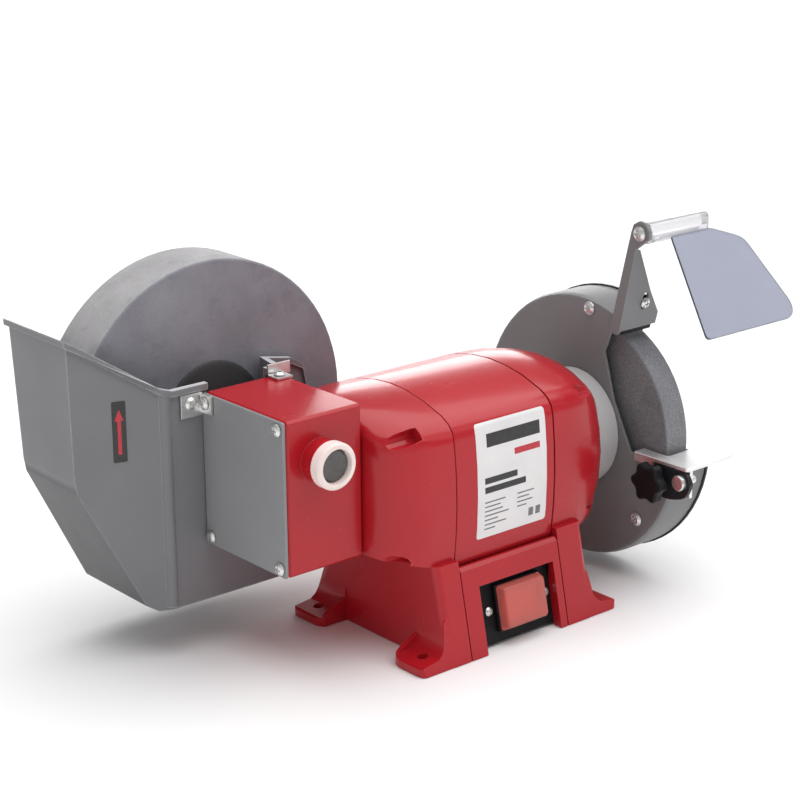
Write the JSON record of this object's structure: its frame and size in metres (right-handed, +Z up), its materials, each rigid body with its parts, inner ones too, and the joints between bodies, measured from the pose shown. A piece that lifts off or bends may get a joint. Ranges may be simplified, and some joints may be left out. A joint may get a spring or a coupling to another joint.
{
  "type": "bench grinder",
  "caption": "Wet and dry bench grinder: a motor drives a small dry wheel directly and a large wet stone in a trough through a worm gear.",
  "frame": {"origin": "centre of the base's length between the motor's bells, under the motor shaft, on the bench plane", "axes": "+X along the motor shaft towards the dry wheel, +Y to the back, +Z up"},
  "size_m": [0.4331, 0.2527, 0.2479],
  "materials": {
    "red_paint": "gloss",
    "plate_grey": "satin",
    "grey_paint": "satin",
    "guard_grey": "satin",
    "dark_steel": "satin",
    "zinc": "satin",
    "steel": "satin",
    "bronze": "satin",
    "lamination": "matte",
    "copper": "gloss",
    "capacitor": "satin",
    "black_plastic": "matte",
    "rocker_red": "gloss",
    "clear": "gloss",
    "cover_red": "gloss",
    "cream_plastic": "satin",
    "grey_stone": "matte",
    "dry_stone": "matte"
  },
  "bodies": {
    "grinder_body": {"base_frame": "red_paint", "base_plate": "zinc", "cable_gland": "black_plastic", "centre_shell": "red_paint", "front_bearing_ring": "cream_plastic", "gearbox_case": "red_paint", "gearbox_plate": "plate_grey", "guard_cover": "dark_steel", "guard_neck": "guard_grey", "guard_screw_1": "zinc", "guard_screw_2": "zinc", "guard_screw_3": "zinc", "guard_shell": "guard_grey", "left_bearing": "steel", "left_end_casting": "red_paint", "panel_screw_left": "zinc", "panel_screw_right": "zinc", "plate_screw_1": "zinc", "plate_screw_2": "zinc", "plate_screw_3": "zinc", "plate_screw_4": "zinc", "rear_bush": "bronze", "right_bearing": "steel", "right_end_casting": "red_paint", "run_capacitor": "capacitor", "shield_bracket": "guard_grey", "shield_pivot_screw": "zinc", "stator_core": "lamination", "switch_body": "black_plastic", "switch_cover": "cover_red", "switch_panel": "black_plastic", "trough_screw_left": "zinc", "trough_screw_right": "zinc", "trough_tab_left": "zinc", "trough_tab_right": "zinc", "water_trough": "grey_paint", "winding_left": "copper", "winding_right": "copper"},
    "motor_spindle": {"motor_shaft": "steel", "rotor_core": "lamination", "worm": "steel", "dry_inner_flange": "steel", "dry_wheel": "dry_stone", "dry_outer_flange": "steel", "dry_wheel_nut": "zinc"},
    "wet_spindle": {"wet_shaft": "steel", "worm_wheel": "bronze", "wet_inner_flange": "dark_steel", "wet_wheel": "grey_stone", "wet_outer_flange": "dark_steel", "wet_wheel_nut": "zinc"},
    "rocker": {"power_rocker": "rocker_red"},
    "arrestor": {"spark_arrestor": "black_plastic", "arrestor_screw": "zinc"},
    "shield": {"shield_holder": "clear", "eye_shield": "clear"},
    "rest": {"tool_rest_bracket": "dark_steel", "tool_rest_table": "zinc", "tool_rest_bolt": "zinc"},
    "knob": {"rest_knob": "black_plastic"}
  },
  "joints": [
    {"name": "motor_spin", "type": "hinge", "parent": "grinder_body", "child": "motor_spindle", "pos_m": [0, 0, 0.0984], "axis": [1, 0, 0], "continuous": true},
    {"name": "wet_spin", "type": "hinge", "parent": "grinder_body", "child": "wet_spindle", "pos_m": [-0.1263, 0, 0.1391], "axis": [0, 1, 0], "continuous": true},
    {"name": "rocker_press", "type": "hinge", "parent": "grinder_body", "child": "rocker", "pos_m": [0.00425, -0.06803, 0.02309], "axis": [1, 0, 0], "range_deg": [-14, 0]},
    {"name": "spark_slide", "type": "slide", "parent": "grinder_body", "child": "arrestor", "axis": [0, -0.2167, 0.9762], "range_m": [-0.0015, 0.004]},
    {"name": "shield_tilt", "type": "hinge", "parent": "grinder_body", "child": "shield", "pos_m": [0.119, -0.057, 0.24], "axis": [1, 0, 0], "range_deg": [-60, 35]},
    {"name": "rest_slide", "type": "slide", "parent": "grinder_body", "child": "rest", "axis": [0, -1, 0], "range_m": [0, 0.006]},
    {"name": "knob_turn", "type": "hinge", "parent": "grinder_body", "child": "knob", "pos_m": [0.115, -0.079, 0.081], "axis": [1, 0, 0], "range_deg": [-360, 0]}
  ],
  "couplings": [
    {"joint": "wet_spin", "follows": "motor_spin", "ratio": 0.045455}
  ]
}
